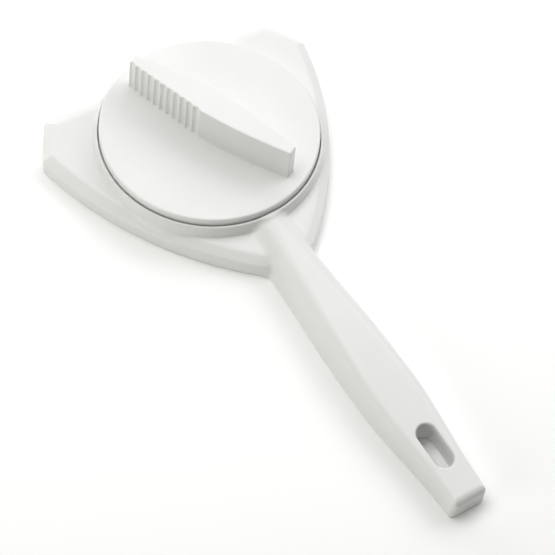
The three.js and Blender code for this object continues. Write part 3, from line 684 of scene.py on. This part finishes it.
def build_rollers():
    """Guide rollers with a lip that goes under the can's rim, and the bevelled cutting wheel."""
    (relief_start, relief_floor), (floor_end, relief_end) = ROLLER_RELIEF
    relief_top = ROLLER_BOTTOM + RELIEF_DEPTH
    roller = [(ROLLER_BORE, ROLLER_BOTTOM), (relief_start, ROLLER_BOTTOM), (relief_floor, relief_top),
              (floor_end, relief_top), (relief_end, ROLLER_BOTTOM), (ROLLER_LIP - 0.3, ROLLER_BOTTOM),
              (ROLLER_LIP, ROLLER_BOTTOM + 0.25), (ROLLER_RADIUS, ROLLER_BOTTOM + LIP_HEIGHT),
              (ROLLER_RADIUS, ROLLER_TOP - ROLLER_CHAMFER), (ROLLER_RADIUS - ROLLER_CHAMFER, ROLLER_TOP),
              (ROLLER_BORE, ROLLER_TOP)]
    for side in ("right", "left"):
        at = spin_point((AXLE_AT, 0), ARMS[side])
        lathed(f"{side}_guide_roller", f"{side}_roller", roller, at, 0.12)
    flank, shoulder = CUTTER_RADIUS - CUTTER_BEVEL, CUTTER_EDGE + CUTTER_RISE
    wheel = [(ROLLER_BORE, ROLLER_BOTTOM), (flank, ROLLER_BOTTOM), (CUTTER_RADIUS, CUTTER_EDGE),
             (flank, shoulder), (CUTTER_HUB, shoulder), (CUTTER_HUB, ROLLER_TOP), (ROLLER_BORE, ROLLER_TOP)]
    lathed("cutting_wheel", "cutter", wheel, spin_point((AXLE_AT, 0), ARMS["cutter"]), 0.03)


# ---- materials ---------------------------------------------------------------------------------
def new_material(name):
    material = bpy.data.materials.new(name)
    material.use_nodes = True
    nodes, links = material.node_tree.nodes, material.node_tree.links
    return material, nodes, links, nodes["Principled BSDF"]


def noise(nodes, links, scale, detail=2.0):
    coordinates = nodes.new("ShaderNodeTexCoord")
    texture = nodes.new("ShaderNodeTexNoise")
    texture.inputs["Scale"].default_value = scale
    texture.inputs["Detail"].default_value = detail
    links.new(coordinates.outputs["Object"], texture.inputs["Vector"])
    return texture.outputs["Fac"]


def ramp(nodes, links, factor, low, high):
    """Maps a factor of about 0.3 to 0.7 onto a range of values or colours."""
    node = nodes.new("ShaderNodeValToRGB")
    grey = lambda v: v if isinstance(v, tuple) else (v, v, v, 1)
    node.color_ramp.elements[0].position, node.color_ramp.elements[1].position = 0.3, 0.7
    node.color_ramp.elements[0].color, node.color_ramp.elements[1].color = grey(low), grey(high)
    links.new(factor, node.inputs["Fac"])
    return node.outputs["Color"]


def bump(nodes, links, height, strength, distance, normal=None):
    node = nodes.new("ShaderNodeBump")
    node.inputs["Strength"].default_value = strength
    node.inputs["Distance"].default_value = distance
    links.new(height, node.inputs["Height"])
    if normal is not None:
        links.new(normal, node.inputs["Normal"])
    return node.outputs["Normal"]


# noise cells in a metre
TINT_SCALE, GLOSS_SCALE, FLOW_SCALE, GRAIN_SCALE, TARNISH_SCALE = 45, 130, 60, 2600, 160


def satin_plastic(name, colour, rough=0.42, grain=0.25):
    """Moulded plastic: an even spark-eroded grain, faint flow waviness and uneven gloss."""
    material, nodes, links, shader = new_material(name)
    darker = tuple(c * 0.975 for c in colour) + (1,)
    links.new(ramp(nodes, links, noise(nodes, links, TINT_SCALE, 3), darker, colour + (1,)),
              shader.inputs["Base Color"])
    links.new(ramp(nodes, links, noise(nodes, links, GLOSS_SCALE, 4), rough - 0.05, rough + 0.06),
              shader.inputs["Roughness"])
    waves = bump(nodes, links, noise(nodes, links, FLOW_SCALE, 1), 0.05, 0.0004)
    links.new(bump(nodes, links, noise(nodes, links, GRAIN_SCALE, 2), grain, 0.00006, waves),
              shader.inputs["Normal"])
    shader.inputs["Specular IOR Level"].default_value = 0.45
    shader.inputs["Subsurface Weight"].default_value = 0.0
    return material


def metal(name, colour, rough, grain_scale=(400, 400, 400), strength=0.15):
    """Plated or ground steel: fine directional grain, uneven gloss and slight tarnish."""
    material, nodes, links, shader = new_material(name)
    shader.inputs["Metallic"].default_value = 1.0
    mapping = nodes.new("ShaderNodeMapping")
    mapping.inputs["Scale"].default_value = grain_scale
    coordinates = nodes.new("ShaderNodeTexCoord")
    links.new(coordinates.outputs["Object"], mapping.inputs["Vector"])
    fine = nodes.new("ShaderNodeTexNoise")
    fine.inputs["Scale"].default_value = 8
    fine.inputs["Detail"].default_value = 3
    links.new(mapping.outputs["Vector"], fine.inputs["Vector"])
    worn = noise(nodes, links, TARNISH_SCALE, 4)
    darker = tuple(c * 0.82 for c in colour) + (1,)
    links.new(ramp(nodes, links, worn, darker, colour + (1,)), shader.inputs["Base Color"])
    links.new(ramp(nodes, links, fine.outputs["Fac"], rough - 0.06, rough + 0.1),
              shader.inputs["Roughness"])
    links.new(bump(nodes, links, fine.outputs["Fac"], strength, 0.00004), shader.inputs["Normal"])
    return material


MATERIALS = {
    "body_plastic": satin_plastic("body_plastic_look", (0.745, 0.747, 0.742)),
    "dial_plastic": satin_plastic("dial_plastic_look", (0.755, 0.757, 0.752)),
    "acetal": satin_plastic("acetal_look", (0.8, 0.79, 0.75), 0.35, 0.1),
    "plated_steel": metal("plated_steel_look", (0.6, 0.61, 0.63), 0.3, (60, 900, 60)),
    "screw_steel": metal("screw_steel_look", (0.56, 0.57, 0.59), 0.28),
    "hardened_steel": metal("hardened_steel_look", (0.4, 0.41, 0.43), 0.25, (60, 60, 900)),
    "spring_steel": metal("spring_steel_look", (0.3, 0.31, 0.33), 0.32),
    "roller_steel": metal("roller_steel_look", (0.64, 0.65, 0.67), 0.2, (60, 60, 900)),
    "cutter_steel": metal("cutter_steel_look", (0.58, 0.59, 0.61), 0.18, (300, 300, 300)),
}


# ---- stage -------------------------------------------------------------------------------------
LENS, SENSOR = 129.814, 36.0
VIEW_AZIMUTH, VIEW_ELEVATION, VIEW_ROLL = -39.79, 57.93, 8.58
VIEW_DISTANCE, VIEW_OFFSET = 788.15, (-27.44, 48.73)
FLOOR_REACH = 3.0  # metres


def camera():
    """Looks along the fitted direction, with the dial's foot off the middle of the picture."""
    a, e, r = (math.radians(v) for v in (VIEW_AZIMUTH, VIEW_ELEVATION, VIEW_ROLL))
    back = np.array([math.sin(a) * math.cos(e), -math.cos(a) * math.cos(e), math.sin(e)])
    level = np.array([math.cos(a), math.sin(a), 0.0])
    above = np.cross(back, level)
    right = level * math.cos(r) + above * math.sin(r)
    up = above * math.cos(r) - level * math.sin(r)
    at = back * VIEW_DISTANCE - right * VIEW_OFFSET[0] - up * VIEW_OFFSET[1]
    data = bpy.data.cameras.new("camera")
    data.sensor_width = SENSOR
    data.lens = LENS
    data.clip_end = 20
    eye = bpy.data.objects.new("camera", data)
    rows = np.eye(4)
    rows[:3, 0], rows[:3, 1], rows[:3, 2], rows[:3, 3] = right, up, back, place(at)
    eye.matrix_world = Matrix(rows.tolist())
    bpy.context.scene.collection.objects.link(eye)
    bpy.context.scene.camera = eye


def floor():
    mesh = bpy.data.meshes.new("floor")
    reach = FLOOR_REACH
    corners = [(-reach, -reach, 0), (reach, -reach, 0), (reach, reach, 0), (-reach, reach, 0)]
    mesh.from_pydata(corners, [], [(0, 1, 2, 3)])
    piece = bpy.data.objects.new("floor", mesh)
    bpy.context.scene.collection.objects.link(piece)
    material, _, _, shader = new_material("floor_look")
    shader.inputs["Base Color"].default_value = (0.97, 0.97, 0.97, 1)
    shader.inputs["Roughness"].default_value = 0.9
    shader.inputs["Specular IOR Level"].default_value = 0.1
    mesh.materials.append(material)


def softbox(name, at, size, power, colour):
    data = bpy.data.lights.new(name, "AREA")
    data.shape = "DISK"
    data.size = size
    data.energy = power
    data.color = colour
    lamp = bpy.data.objects.new(name, data)
    lamp.location = at
    aim = -np.array(at, float)
    lamp.rotation_mode = "QUATERNION"
    lamp.rotation_quaternion = Vector(aim).to_track_quat("-Z", "Y")
    bpy.context.scene.collection.objects.link(lamp)


NEUTRAL, WARM = (1, 1, 1), (1, 1, 0.9)
# direction from +X and height in degrees, distance and size in metres, power in watts, colour
LAMPS = [("key", 0, 38, 0.9, 0.6, 3.0, NEUTRAL), ("side_key", 45, 38, 0.9, 0.6, 1.9, NEUTRAL),
         ("back_key", 315, 38, 0.9, 0.6, 0.8, WARM), ("right", 90, 15, 0.9, 0.5, 2.3, NEUTRAL),
         ("left", 180, 15, 0.9, 0.5, 2.6, WARM), ("low_left", 135, 15, 0.9, 0.5, 0.4, WARM),
         ("over_left", 135, 69, 0.59, 0.4, 1.55, NEUTRAL), ("over_right", 45, 69, 0.59, 0.4, 0.6, NEUTRAL),
         ("front_left", 225, 58, 0.9, 0.8, 0.4, WARM)]


def lights():
    world = bpy.data.worlds.new("studio")
    world.use_nodes = True
    world.node_tree.nodes["Background"].inputs["Color"].default_value = (1, 1, 1, 1)
    world.node_tree.nodes["Background"].inputs["Strength"].default_value = 0.0
    bpy.context.scene.world = world
    for name, direction, height, distance, size, power, colour in LAMPS:
        a, e = math.radians(direction), math.radians(height)
        at = np.array([math.cos(a) * math.cos(e), math.sin(a) * math.cos(e), math.sin(e)])
        softbox(name + "_light", at * distance, size, power, colour)


bpy.context.scene.view_settings.view_transform = "Standard"
camera()
floor()
lights()

build_body()
build_chassis()
build_dial()
build_scroll()
build_screws()
build_hub_rings()
for arm_side, arm_direction in ARMS.items():
    build_slide(arm_side, arm_direction)
build_rollers()
